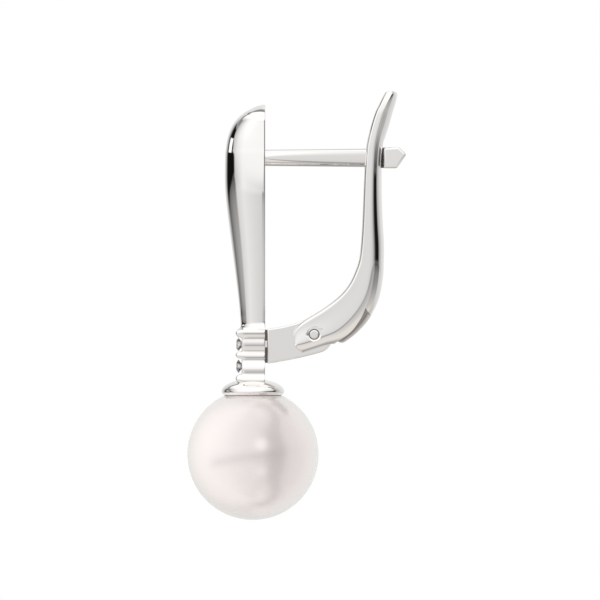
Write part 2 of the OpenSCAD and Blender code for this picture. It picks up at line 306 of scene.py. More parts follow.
class Tree:
    """A node tree that is being written."""

    def __init__(self, owner):
        owner.use_nodes = True
        self.nodes, self.links = owner.node_tree.nodes, owner.node_tree.links
        self.nodes.clear()

    def node(self, kind, settings=(), sockets=(), output=0):
        """Adds a node: its settings first, then the values or links of its sockets."""
        made = self.nodes.new("ShaderNode" + kind)
        for setting, value in dict(settings).items():
            if setting == "stops":
                self.set_stops(made.color_ramp, value)
            else:
                setattr(made, setting, value)
        for socket, value in dict(sockets).items():
            if isinstance(value, Value):
                self.links.new(value.socket, made.inputs[socket])
            else:
                made.inputs[socket].default_value = value
        return Value(self, made.outputs[output]) if len(made.outputs) else made

    def set_stops(self, ramp, stops):
        for index, (position, colour) in enumerate(stops):
            stop = ramp.elements[index] if index < 2 else ramp.elements.new(position)
            stop.position, stop.color = position, (*colour, 1)

    def parts(self, vector):
        """The three numbers of a vector."""
        split = self.node("SeparateXYZ", {}, {0: vector})
        outputs = split.socket.node.outputs
        return [Value(self, output) for output in outputs]

    def step(self, value, low, high):
        """0 below low, 1 above high, and a smooth turn between them."""
        limits = {"Value": value, "From Min": low, "From Max": high}
        return self.node("MapRange", {"interpolation_type": "SMOOTHSTEP"}, limits)

    def band(self, value, low, high, soft):
        """1 where a value is between low and high, with a soft edge on both sides."""
        return self.step(value, low - soft, low + soft) * (1 - self.step(value, high - soft, high + soft))

    def ramp(self, value, stops):
        """Colours at set values, blended between them."""
        low, high = stops[0][0], stops[-1][0]
        share = (value - low) / (high - low)
        placed = [((at - low) / (high - low), colour) for at, colour in stops]
        return self.node("ValToRGB", {"stops": placed}, {0: share})

    def level(self, value, stops):
        """Numbers at set values, blended between them."""
        top = max(abs(number) for _, number in stops)
        shades = [(at, (0.5 + number / top / 2,) * 3) for at, number in stops]
        return (self.parts(self.ramp(value, shades))[0] - 0.5) * (2 * top)

    def mix(self, share, first, second):
        """One colour turning into another."""
        return self.node("Mix", {"data_type": "RGBA"}, {0: share, 6: first, 7: second}, output=2)


# %% [markdown]
# ## The studio
# Polished metal has no look of its own: it shows the room. The room here is a plain soft studio, white above
# and pale pink below, with a dark panel on each side that draws the black lines along the metal. It is
# written as a colour for each direction: the azimuth turns from +X, and the elevation rises from the horizon.
# Greys are given as the picture shows them, from 0 to 255. A grey above 255 is a light that shows as white.

# %% Directions and greys
METAL_COLOUR = (0.96, 0.941, 0.922)
PAPER_PINK = (1.0, 0.969, 0.930)
WHITE = (1.0, 1.0, 1.0, 1)


def linear(grey):
    """The light behind a picture's grey level."""
    return ((grey / 255 + 0.055) / 1.055) ** 2.4


def seen_grey(grey, tint=(1, 1, 1)):
    """The light that the metal shows as this grey."""
    return tuple(linear(grey) / METAL_COLOUR[0] * channel for channel in tint)


world = bpy.data.worlds.new("studio")
bpy.context.scene.world = world
sky = Tree(world)
ahead, right, up = sky.parts(sky.node("TexCoord", output="Generated"))
azimuth = sky.node("Math", {"operation": "ARCTAN2"}, {0: right, 1: ahead}) * math.degrees(1)
elevation = sky.node("Math", {"operation": "ARCSINE"}, {0: up}) * math.degrees(1)

# %% [markdown]
# Above the horizon the room is white paper, dimmer towards the left panel and on the right. Below it lies the
# floor, neutral near the horizon, pink further down, and dark under and behind the piece.

# %% Walls and floor
walls = sky.ramp(elevation, [
    (0, seen_grey(237)), (5, seen_grey(249)), (14, seen_grey(262)), (62, seen_grey(262)), (90, seen_grey(252)),
])
dimming = sky.level(azimuth, [
    (-180, 0.0), (-120, 0.5), (-100, 0.6), (-70, 0.15), (-50, 0.0), (25, 0.0), (50, 0.2), (90, 0.4), (180, 0.0),
])
walls = sky.mix(dimming * (1 - sky.step(elevation, 25, 55)), walls, (0, 0, 0, 1))
near_floor = sky.ramp(azimuth, [
    (-180, seen_grey(226)), (-145, seen_grey(205)), (-130, seen_grey(160)), (-70, seen_grey(215)),
    (-50, seen_grey(231)), (-5, seen_grey(209)), (100, seen_grey(205)), (180, seen_grey(228)),
])
far_floor = sky.ramp(elevation, [
    (-90, seen_grey(172, PAPER_PINK)), (-65, seen_grey(190, PAPER_PINK)), (-50, seen_grey(225, PAPER_PINK)),
    (-24, seen_grey(227, PAPER_PINK)), (-14, seen_grey(220, PAPER_PINK)),
])
back_floor = sky.ramp(elevation, [
    (-90, seen_grey(172, PAPER_PINK)), (-50, seen_grey(156, PAPER_PINK)), (-12, seen_grey(214, PAPER_PINK)),
])
far_floor = sky.mix(sky.step(ahead, 0.0, -0.25), far_floor, back_floor)
floor_light = sky.mix(sky.step(elevation, -13, -21), near_floor, far_floor)
room = sky.mix(sky.step(elevation, 0.5, -3.0), walls, floor_light)

# %% [markdown]
# A strip along the horizon holds the two black panels and, behind the piece, the grey back of the room. It
# has its own edges: their height is one more number for each azimuth. The paper in front of each panel is in
# its shade, a grey line runs above the back of the room, and a small window opens in the left panel.

# %% Panels
strip = sky.ramp(azimuth, [
    (-180, seen_grey(233)), (-143, seen_grey(210)), (-128, seen_grey(120)), (-122, seen_grey(20)),
    (-82, seen_grey(16)), (-76, seen_grey(192)), (-50, seen_grey(241)), (0, seen_grey(217)),
    (22, seen_grey(184)), (48, seen_grey(72)), (53, seen_grey(22)), (88, seen_grey(22)),
    (100, seen_grey(170)), (130, seen_grey(220)), (180, seen_grey(235)),
])
strip_top = sky.level(azimuth, [
    (-180, 46), (-140, 30), (-118, 24), (-100, 21), (-92, 9), (-78, 3), (0, 1.5), (52, 10), (80, 13), (104, 36),
    (180, 46),
])
strip_bottom = sky.level(azimuth, [
    (-180, -5), (-118, -5), (-98, -1), (-86, 1), (-78, 1), (-66, -1.2), (95, -1.5), (120, -5), (180, -5),
])
top_softness = sky.level(azimuth, [(-180, 3), (-100, 2), (0, 2), (80, 6), (110, 3), (180, 3)])
bottom_softness = sky.level(azimuth, [
    (-180, 3), (-120, 0.8), (-86, 0.8), (-70, 2.5), (-12, 2), (-4, 1.1), (90, 1.1), (115, 3), (180, 3),
])
depth = strip_bottom - elevation
panel_shade = sky.ramp(depth, [
    (0, seen_grey(97, PAPER_PINK)), (6, seen_grey(140)), (12, seen_grey(170)), (30, seen_grey(216, PAPER_PINK)),
])
front_shade = sky.ramp(depth, [
    (0, seen_grey(150)), (4, seen_grey(178)), (11, seen_grey(193)), (25, seen_grey(226, PAPER_PINK)),
])
shade = sky.mix(sky.band(azimuth, -30, 42, 8), panel_shade, front_shade)
in_shade = sky.band(azimuth, -126, -75, 5) + sky.band(azimuth, -2, 99, 4)
room = sky.mix(in_shade * sky.step(depth, -1, 0.2) * (1 - sky.step(depth, 22, 32)), room, shade)
above_strip = elevation - strip_top
in_strip = sky.step(depth, bottom_softness, bottom_softness * -1)
in_strip = in_strip * sky.step(above_strip, top_softness, top_softness * -1)
room = sky.mix(in_strip, room, strip)
edge_line = sky.band(above_strip, 1, 11, 3) * (1 - sky.band(azimuth, -97, 94, 5))
room = sky.mix(edge_line, room, (*seen_grey(138), 1))
window = sky.band(azimuth, -118, -97, 1) * sky.band(elevation, 6, 13, 0.7)
room = sky.mix(window, room, (*seen_grey(262), 1))

# %% [markdown]
# Satin surfaces blur what they show, so they get the same room in broad patches: bright on the left, a darker
# column to the right of +X, a dim line at the horizon, and two lamps, one of them mirrored in the paper.

# %% Soft reflections
high = sky.node("Math", {"operation": "ABSOLUTE"}, {0: elevation})
past = sky.node("Math", {"operation": "MAXIMUM"}, {0: high - 30, 1: 0.0})
turned_azimuth = azimuth - past * past / 24 * sky.step(azimuth, 0, 40)
soft_room = sky.ramp(turned_azimuth, [
    (-180, (0.88,) * 3), (-150, (0.88,) * 3), (-120, (1.12,) * 3), (-90, (1.28,) * 3), (-60, (1.22,) * 3),
    (-30, (1.04,) * 3), (0, (0.94,) * 3), (20, (0.76,) * 3), (32, (0.42,) * 3), (56, (0.42,) * 3),
    (61, (0.78,) * 3), (90, (0.9,) * 3), (120, (1.06,) * 3), (150, (1.0,) * 3), (180, (0.88,) * 3),
])
soft_room = sky.mix(sky.step(high, 15, 60) * 0.15, soft_room, WHITE)
dim_line = sky.band(elevation - azimuth * 0.12, -9, 3, 5) * sky.band(azimuth, -80, 60, 20)
soft_room = sky.mix(dim_line * 0.38, soft_room, (0, 0, 0, 1))


def lamp(at_azimuth, at_elevation, radius):
    """A round patch of the room."""
    a, e = math.radians(at_azimuth), math.radians(at_elevation)
    middle = (math.cos(a) * math.cos(e), math.sin(a) * math.cos(e), math.sin(e))
    apart = ahead * middle[0] + right * middle[1] + up * middle[2]
    return sky.step(apart, math.cos(math.radians(radius * 1.5)), math.cos(math.radians(radius * 0.5)))


soft_room = sky.mix(lamp(15, 18, 9), soft_room, (1.5, 1.5, 1.5, 1))
soft_room = sky.mix(lamp(17, -29, 8), soft_room, (1.2, 1.2, 1.2, 1))

# %% Background
mirrored = sky.node("LightPath", output="Is Singular Ray")
seen = sky.node("LightPath", output="Is Camera Ray")
light = sky.node("Background", {}, {"Color": sky.mix(mirrored, soft_room, room), "Strength": 1.0})
plain = sky.node("Background", {}, {"Color": WHITE, "Strength": 1.0})
sky.node("OutputWorld", {}, {"Surface": sky.node("MixShader", {}, {0: seen, 1: light, 2: plain})})

# %% [markdown]
# The floor is a wide sheet of pale paper well below the pearl. The level camera looks over it, and it shows in
# every view from above.

# %% Floor
FLOOR_RADIUS = 1.0
FLOOR_LEVEL = -0.06
FLOOR_SIDES = 96

floor = start(
    "paper_floor", "circle", vertices=FLOOR_SIDES, radius=FLOOR_RADIUS, fill_type="NGON",
    location=(0, 0, FLOOR_LEVEL),
)
bpy.ops.object.mode_set(mode="OBJECT")
paper_floor = bpy.data.materials.new("pale_paper")
tree = Tree(paper_floor)
grain = tree.node("TexNoise", {}, {"Scale": 900.0, "Detail": 4.0})
surface = tree.node("BsdfPrincipled", {}, {
    "Base Color": tree.mix(grain, (0.80, 0.785, 0.77, 1), (0.84, 0.825, 0.81, 1)), "Roughness": 0.8,
})
tree.node("OutputMaterial", {}, {"Surface": surface})
floor.data.materials.append(paper_floor)
floor.visible_glossy = False


# %% [markdown]
# ## The metal
# White polished metal reflects nearly all the light that falls on it. Hand polishing leaves the faintest
# waves in the surface and slight differences of tone.

# %% Polished metal
def polished_metal():
    material = bpy.data.materials.new("polished_white_metal")
    tree = Tree(material)
    place_on = tree.node("TexCoord", output="Object")
    waves = tree.node("TexNoise", {}, {"Vector": place_on, "Scale": 500.0, "Detail": 1.0})
    tone = tree.node("TexNoise", {}, {"Vector": place_on, "Scale": 1400.0, "Detail": 3.0})
    bump = tree.node("Bump", {}, {"Height": waves, "Strength": 0.05, "Distance": 0.00001})
    darker = tuple(channel * 0.985 for channel in METAL_COLOUR)
    mirror = tree.node("BsdfPrincipled", {}, {
        "Base Color": tree.mix(tone, (*darker, 1), (*METAL_COLOUR, 1)), "Metallic": 1.0, "Roughness": 0.0,
        "Normal": bump,
    })
    tree.node("OutputMaterial", {}, {"Surface": mirror})
    return material


metal = polished_metal()


# %% Satin metal with painted shade
# The rib lies along an arc round this centre (y, z), in millimetres, and is filed along it.
FILE_CENTRE = (-0.309, -8.08)
FILE_RADIUS = 3.54
FILE_MARK_WIDTH = 0.1


def satin_with_painted_shade():
    """Filed satin metal with faint marks along the arc, and painted shade: darkest in the corner by the ear,
    lighter to the rim.
    """
    material = bpy.data.materials.new("satin_with_painted_shade")
    tree = Tree(material)
    place_on = tree.node("TexCoord", output="Object")
    _, y, z = tree.parts(place_on)
    y, z = y / MM - FILE_CENTRE[0], z / MM - FILE_CENTRE[1]
    past = tree.node("Math", {"operation": "SQRT"}, {0: y * y + z * z}) - FILE_RADIUS
    grain = tree.node("TexNoise", {}, {"Vector": place_on, "Scale": 2500.0, "Detail": 2.0})
    marks = tree.node("Math", {"operation": "SINE"}, {0: past * (math.tau / FILE_MARK_WIDTH)})
    # Painted shade: the colour is darkest in the corner by the ear and lightens towards the rim.
    colour = tree.ramp(past, [
        (0.0, (0.38, 0.35, 0.325)), (0.12, (0.45, 0.415, 0.39)), (0.3, (0.56, 0.525, 0.495)),
        (0.55, (0.76, 0.73, 0.70)),
    ])
    surface = tree.node("BsdfPrincipled", {}, {
        "Base Color": tree.mix(0.06 + marks * 0.04 + grain * 0.06, colour, (0, 0, 0, 1)), "Metallic": 1.0,
        "Roughness": 0.28 + grain * 0.06,
    })
    tree.node("OutputMaterial", {}, {"Surface": surface})
    return material


satin_painted_shade = satin_with_painted_shade()


# %% Painted shade metal
# Dark rough metal as painted shade for shaded gaps: the post's neck, the stem's seam, the rings round the
# rivets.
def painted_shade_metal():
    material = bpy.data.materials.new("painted_shade_dark")
    tree = Tree(material)
    place_on = tree.node("TexCoord", output="Object")
    patchy_shade = tree.node("TexNoise", {}, {"Vector": place_on, "Scale": 1500.0, "Detail": 2.0})
    surface = tree.node("BsdfPrincipled", {}, {
        "Base Color": tree.mix(patchy_shade, (0.13, 0.12, 0.11, 1), (0.21, 0.19, 0.17, 1)), "Metallic": 0.8,
        "Roughness": 0.45 + patchy_shade * 0.15,
    })
    tree.node("OutputMaterial", {}, {"Surface": surface})
    return material


painted_shade = painted_shade_metal()

# %% [markdown]
# ## The front plate
# The plate is domed like a drop cut in half: a half ellipse in front of a flat back, at every height. We could
# squash a sphere, but its width and depth change in their own way along the length, so it is a loft. Two close
# points at each back corner keep the subdivided edge tight, and the last rows flare out to meet the stem.

# %% Front plate
PLATE_BACK = -3.05
PLATE_EDGE = 0.045
# The arch of the top, seen from the front: its tip, how far down it reaches, how full it is and the half
# width at its foot. Below it the sides run straight apart, down to height 0.
PLATE_TIP = 3.24
ARCH_HEIGHT = 0.98
ARCH_POWER = 0.95
ARCH_HALF = 1.61
SIDE_HALF = 1.70
# Height and depth in front of the flat back, above height 0.
PLATE_TOP = [
    (3.235, 0.17), (3.215, 0.24), (3.195, 0.31), (3.17, 0.42), (3.13, 0.54), (3.08, 0.66), (3.02, 0.79),
    (2.96, 0.905), (2.90, 1.025), (2.835, 1.145), (2.76, 1.27), (2.66, 1.39), (2.57, 1.51), (2.45, 1.635),
    (2.32, 1.755), (2.16, 1.88), (1.97, 2.00), (1.60, 2.17), (1.10, 2.32), (0.50, 2.41),
]
# Height, depth in front of the flat back, half width, from height 0 down.
PLATE_ROWS = [
    (0.00, 2.45, SIDE_HALF), (-1.60, 2.46, 1.74), (-3.06, 2.34, 1.70), (-5.01, 2.09, 1.54),
    (-7.45, 1.77, 1.24), (-9.00, 1.59, 1.05), (-9.60, 1.54, 1.00), (-9.95, 1.51, 0.975),
    (-10.12, 1.50, 0.975), (-10.24, 1.51, 0.995), (-10.34, 1.54, 1.03), (-10.43, 1.62, 1.10),
    (-10.50, 1.75, 1.16),
]
# Degrees between the front's points, and how far out they stand so that the subdivided arc keeps its size.
ARC_STEP = 12
ARC_GAIN = 3 / (2 + math.cos(math.radians(ARC_STEP)))


def arch_half(height):
    """Half the width of the plate above height 0."""
    down = PLATE_TIP - height
    if down < ARCH_HEIGHT:
        return ARCH_HALF * math.sin(math.pi / 2 * down / ARCH_HEIGHT) ** ARCH_POWER
    return ARCH_HALF + (SIDE_HALF - ARCH_HALF) * (down - ARCH_HEIGHT) / (PLATE_TIP - ARCH_HEIGHT)


def plate_section(height, depth, half):
    """One level of the plate: the corners of its flat back and the half ellipse in front of it."""
    edge = min(PLATE_EDGE, depth / 3, half / 3)
    right = [(half - 2 * edge, PLATE_BACK), (half - edge, PLATE_BACK)]
    arc = [math.radians(angle) for angle in range(0, 181, ARC_STEP)]
    front = [
        (half * ARC_GAIN * math.cos(a), PLATE_BACK - edge - (depth - edge) * ARC_GAIN * math.sin(a))
        for a in arc
    ]
    left = [(-x, y) for x, y in reversed(right)]
    return [Vector((x, y, height)) for x, y in right + front + left]


plate_rows = [(height, depth, arch_half(height)) for height, depth in PLATE_TOP] + PLATE_ROWS
plate = loft("front_plate", [plate_section(*row) for row in curved(plate_rows, steps=2)], levels=2)
smooth(plate)
place(plate, "front", "front_frame", metal)

# %% [markdown]
# ## The stem
# Below the plate come three raised bars with two seats between them. The side faces look flat, but each one
# leans a little, and in a mirror a lean of one degree moves the picture by two. So a table gives the lean at
# each height, and the width of every level is summed up from it. Each level is one section of a loft.

# %% Stem
BAR_HALF = 1.12
SEAT_STEP = 0.06
BAR_FRONT = -4.85
SEAT_FRONT = -4.48
STEM_BACK = -3.06
BACK_CORNER = 0.04
STEM_BOTTOM = -13.86
# Top and bottom of each bar. The seats lie between them.
BARS = [(-10.46, -10.955), (-11.82, -12.23), (-13.19, -13.71)]
# Height, degrees that the side faces upwards there.
STEM_LEANS = [
    (-10.46, 45), (-10.53, 14), (-10.59, 5), (-10.65, 0.3), (-10.70, -1.2), (-10.75, -1.4), (-10.79, -12),
    (-10.91, -13), (-10.93, -1.5), (-11.01, -1.3), (-11.03, 0), (-11.08, 1.7), (-11.14, 2.7), (-11.20, 2.5),
    (-11.26, 1.1), (-11.32, -0.15), (-11.40, -0.6), (-11.44, -1.6), (-11.47, -1.6), (-11.49, -11),
    (-11.73, -12), (-11.75, -1.5), (-11.82, -1.3), (-11.85, 3), (-11.90, 5.5),
    (-11.99, 5), (-12.05, 2.6), (-12.12, -0.3), (-12.17, -1.2), (-12.22, -3), (-12.27, -1.2), (-12.36, 1),
    (-12.42, 6), (-12.52, 8), (-12.66, 6.5), (-12.73, 5), (-12.79, 4), (-12.85, 2), (-12.91, 0),
    (-12.97, -0.45), (-13.05, -0.6), (-13.15, -0.45), (-13.21, 2), (-13.27, 7), (-13.45, 7), (-13.52, 4),
    (-13.58, 0.3), (-13.64, -0.55), (-13.71, -0.6), (-13.86, -0.6),
]
# Height of a level and of the step between a bar and a seat, and how strongly a bar's front is rounded.
LEVEL_STEP = 0.022
STEP_HEIGHT = 0.02
BAR_ROUNDING = 1.3
# How the side falls away in front: reach along Y and depth along X of the soft pillow, and the edge radius.
BAR_PILLOW = (0.57, 0.065, 0.11)
SEAT_PILLOW = (0.25, 0.015, 0.05)
# Where a side has its points: across the front edge, on to the pillow's end, and before the back corner.
EDGE_SHARES = (0, 0.08, 0.2, 0.4, 0.7, 1.0)
PILLOW_SHARES = (0.25, 0.5, 0.75, 1)
BACK_SUPPORT = 0.1


def lean_at(height):
    """How many degrees the side faces upwards at a height."""
    for (above, first), (below, second) in zip(STEM_LEANS, STEM_LEANS[1:]):
        if height >= below:
            return first + (second - first) * (above - height) / (above - below)
    return STEM_LEANS[-1][1]


def stem_ring(height, half, front, pillow):
    """One level of the stem, with support points where the flat side begins and ends."""
    reach, fall, radius = pillow
    places = [radius * share for share in EDGE_SHARES]
    places += [radius + (reach - radius) * share for share in PILLOW_SHARES]
    side = [(0, front)]
    for place_in in places:
        drop = fall * (1 - place_in / reach) ** 3
        if place_in < radius:
            drop += radius * (1 - math.sqrt(1 - (1 - place_in / radius) ** 2))
        side.append((half - drop, front + place_in))
    side.append((half, STEM_BACK - BACK_SUPPORT))
    for angle in (0, 45, 90):
        a = math.radians(angle)
        corner = half - BACK_CORNER + BACK_CORNER * math.cos(a)
        side.append((corner, STEM_BACK - BACK_CORNER + BACK_CORNER * math.sin(a)))
    side.append((0, STEM_BACK))
    return [Vector((x, y, height)) for x, y in side + [(-x, y) for x, y in reversed(side[1:-1])]]


def bar_at(height):
    """Top and bottom of the bar at a height, or None at a seat."""
    return next(((top, bottom) for top, bottom in BARS if bottom <= height <= top), None)


borders = sorted((edge for bar in BARS for edge in bar), reverse=True)
heights = []
for above, below in zip(borders, borders[1:] + [STEM_BOTTOM]):
    steps = max(2, round((above - below) / LEVEL_STEP))
    heights += [above - STEP_HEIGHT + (below - above + STEP_HEIGHT) * k / steps for k in range(steps + 1)]
half, stem_rings, last = 0.0, [], heights[0]
widths = []
for height in heights:
    half += math.tan(math.radians(lean_at((height + last) / 2))) * (last - height)
    last = height
    widths.append(half)
widest = max(widths)
for height, width in zip(heights, widths):
    bar = bar_at(height)
    half = BAR_HALF + width - widest - (0 if bar else SEAT_STEP)
    if bar:
        middle, reach = (bar[0] + bar[1]) / 2, (bar[0] - bar[1]) / 2
        sunk = BAR_ROUNDING * (reach - math.sqrt(max(0, reach ** 2 - (height - middle) ** 2)))
        stem_rings.append(stem_ring(height, half, BAR_FRONT + sunk, BAR_PILLOW))
    else:
        stem_rings.append(stem_ring(height, half, SEAT_FRONT, SEAT_PILLOW))
stem = loft("stem", stem_rings, levels=0)
smooth(stem, angle=35)
place(stem, "front", "front_frame", metal)
print("stem half widths:", round(BAR_HALF + min(widths) - widest, 3), "to", BAR_HALF)

# %% [markdown]
# ## The cap and its peg
# The cap is a shallow dome that sits on the pearl like a hat. Its rounded lip tucks in to meet the pearl, and
# the peg below it is glued into the pearl. Both are turned on a lathe, so one profile is spun round the
# pearl's axis.

# %% Pearl cap
PEARL_R = 4.0
PEARL_AT = Vector((0, -3.80, -18.08))
PEARL_GAP = 0.03
CAP_R = 1.91
CAP_RISE = 0.77
CAP_RIM = -14.25 - PEARL_AT.z
CAP_LIP = 0.17
LIP_TUCK = 0.05
PEG_R = 0.45
PEG_CHAMFER = 0.05
# Degrees between the points of the dome and of the lip, where the lip ends, and steps over the pearl.
DOME_STEP, LIP_STEP, LIP_END = 5, 6, 60
UNDER_STEPS = 8

dome = [
    (CAP_R * math.sin(a), CAP_RIM + CAP_RISE * math.cos(a))
    for a in (math.radians(angle) for angle in range(0, 91, DOME_STEP))
]
lip = [
    (CAP_R - CAP_LIP + CAP_LIP * math.cos(a), CAP_RIM - CAP_LIP * math.sin(a))
    for a in (math.radians(angle) for angle in range(LIP_STEP, LIP_END + 1, LIP_STEP))
]
on_pearl = PEARL_R + PEARL_GAP
first_turn = math.asin((lip[-1][0] - LIP_TUCK) / on_pearl)
last_turn = math.asin(PEG_R / on_pearl)
under = [
    (on_pearl * math.sin(a), on_pearl * math.cos(a))
    for a in (first_turn + (last_turn - first_turn) * k / UNDER_STEPS for k in range(UNDER_STEPS + 1))
]
peg = [(PEG_R, PEG_CHAMFER), (PEG_R - PEG_CHAMFER, 0), (0, 0)]
cap = turned("pearl_cap", dome + lip + under + peg, PEARL_AT)
smooth(cap, angle=35)
place(cap, "front", "front_frame", metal)

# %% [markdown]
# ## The ear post
# The post is a round bar that widens a little towards the lever. A flat is filed on each side, from nothing
# at the plate to its full depth at the lever, so the fold between flat and round runs slanting along the post.

# %% Ear post
# Place along the post, radius of the bar, distance of the flats from its middle.
POST_ROOT = (-3.25, 0.50, 0.50)
POST_END = (3.96, 0.58, 0.38)
# Half the height of a flat where it has only just begun.
LEAST_FLAT = 0.04
# How much a flat leans where it meets the round part.
FOLD_LEAN = 0.044
POST_SECTIONS = 12
SIDE_STEPS = 16
TOP_STEPS = 24


def post_section(share):
    """The post at a share of its length: a flat on each side, round above and below."""
    y, radius, flat = (a + (b - a) * share for a, b in zip(POST_ROOT, POST_END))
    fold = max(LEAST_FLAT, math.sqrt(max(0, radius ** 2 - flat ** 2)))
    right = []
    for k in range(SIDE_STEPS + 1):
        part = 2 * k / SIDE_STEPS - 1
        x = math.sqrt(radius ** 2 - fold ** 2) + FOLD_LEAN * fold * (1 - part ** 4) / 4
        right.append((x, fold * part))
    first = math.asin(fold / radius)
    angles = [first + (math.pi - 2 * first) * k / TOP_STEPS for k in range(1, TOP_STEPS)]
    top = [(radius * math.cos(a), radius * math.sin(a)) for a in angles]
    return [Vector((x, y, z)) for x, z in right + top + [(-x, -z) for x, z in right + top]]


post = loft("ear_post", [post_section(k / POST_SECTIONS) for k in range(POST_SECTIONS + 1)], levels=0)
smooth(post, angle=10)
place(post, "front", "front_frame", metal)

# %% [markdown]
# Behind the lever the post narrows to a neck, which the lever's slot closes on. Its dark metal is painted
# shade for the gap between the arm and the head.

# %% Post neck
# Place along the post, half width.
NECK_ROWS = [(3.90, 0.38), (3.98, 0.38), (4.14, 0.28), (4.30, 0.28)]
NECK_HALF_HEIGHT = 0.62
NECK_CORNER = 0.08


def neck_section(y, half):
    """One section of the neck: a rectangle with its corners cut off."""
    corner = [(half, NECK_HALF_HEIGHT - NECK_CORNER), (half - NECK_CORNER, NECK_HALF_HEIGHT)]
    right = corner + [(x, -z) for x, z in reversed(corner)]
    return [Vector((x, y, z)) for x, z in right + [(-x, z) for x, z in reversed(right)]]


neck = loft("post_neck", [neck_section(*row) for row in NECK_ROWS], levels=0)
smooth(neck, angle=30)
# The neck's dark metal is painted shade.
place(neck, "front", "front_frame", painted_shade)

# %% [markdown]
# The head that the lever snaps over is a flat plate with a point, cut from sheet, with softly rounded edges.

# %% Post head
POST_HEAD = [(4.14, 0.60), (5.09, 0.66), (5.56, 0.20), (4.98, -0.64), (4.14, -0.64)]
POST_HEAD_HALF = 0.40
POST_HEAD_EDGE = 0.12

head = slab("post_head", POST_HEAD, POST_HEAD_HALF, POST_HEAD_EDGE, segments=5)
smooth(head, angle=35)
place(head, "front", "front_frame", metal)

# %% [markdown]
# ## The bracket
# A flat tongue is soldered to the back of the stem and carries the hinge. It is one outline, extruded.

# %% Hinge bracket
HINGE = (-0.07, -10.76)
BRACKET_HALF = 0.5
BRACKET_START = -2.945
BRACKET_TOP = [(BRACKET_START, -10.43), (-1.97, -10.28), (-1.13, -10.05), (-0.75, -9.90)]
BRACKET_BOTTOM = [(-0.10, -11.98), (-1.51, -12.31), (BRACKET_START, -12.56)]
# Degrees round the hinge where the tongue's round end begins, reaches its full radius and ends.
TONGUE_FIRST, TONGUE_FULL, TONGUE_LAST = 110, -40, -60
TONGUE_STEP = 5
TONGUE_R_TOP, TONGUE_R_END = 1.0, 1.19
BRACKET_EDGE = 0.09


def tongue_point(angle):
    """A point of the tongue's round end, whose radius grows from its top to its underside."""
    share = max(0, angle - TONGUE_FULL) / (TONGUE_FIRST - TONGUE_FULL)
    radius = TONGUE_R_END + (TONGUE_R_TOP - TONGUE_R_END) * share
    a = math.radians(angle)
    return HINGE[0] + radius * math.cos(a), HINGE[1] + radius * math.sin(a)


tongue = [tongue_point(angle) for angle in range(TONGUE_FIRST, TONGUE_LAST - 1, -TONGUE_STEP)]
outline = curved(BRACKET_TOP)[:-1] + tongue + curved([tongue[-1]] + BRACKET_BOTTOM)[1:]
bracket = slab("hinge_bracket", outline, BRACKET_HALF, BRACKET_EDGE, segments=4)
smooth(bracket, angle=35)
place(bracket, "front", "front_frame", metal)

# %% Solder joint and its painted shade seam
# Front and back (y), bottom and top (z) of the tenon that joins stem and bracket, and of the seam round it.
TENON = (-3.25, -2.80, -11.56, -11.15)
SEAM = (-3.12, -2.90, -12.50, -10.48)
TENON_HALF, SEAM_HALF = 0.45, 0.40
SOLDER_EDGE = 0.03


def block(front, back, bottom, top):
    """The outline of a plain block in Y and Z."""
    return [(front, bottom), (back, bottom), (back, top), (front, top)]


tenon = slab("solder_tenon", block(*TENON), TENON_HALF, SOLDER_EDGE)
smooth(tenon, angle=35)
place(tenon, "front", "front_frame", metal)
# The seam is painted shade: a dark strip in the gap between stem and bracket.
seam = slab("seam_painted_shade", block(*SEAM), SEAM_HALF, SOLDER_EDGE)
smooth(seam, angle=35)
place(seam, "front", "front_frame", painted_shade)

# %% [markdown]
# ## The lever
# The lever is one long curved arm, flat inside and domed outside. It is lofted over sections like the plate.
# Then we cut the slot for the post, the space for the bracket, the step along the rib and the pin's seats.

# %% Lever arm
LEVER_HALF = 1.2
# The rim of the inner face: how far it reaches along the side, and how far over the inner face.
LEVER_EDGE = 0.17
LEVER_EDGE_WIDE = 0.36
# How far a flat side falls towards the rim for each step of squareness past 1, and how far it rolls over
# before the crease, within a reach.
SIDE_FALL = 0.005
CREASE_ROLL = 0.003
ROLL_REACH = 0.15
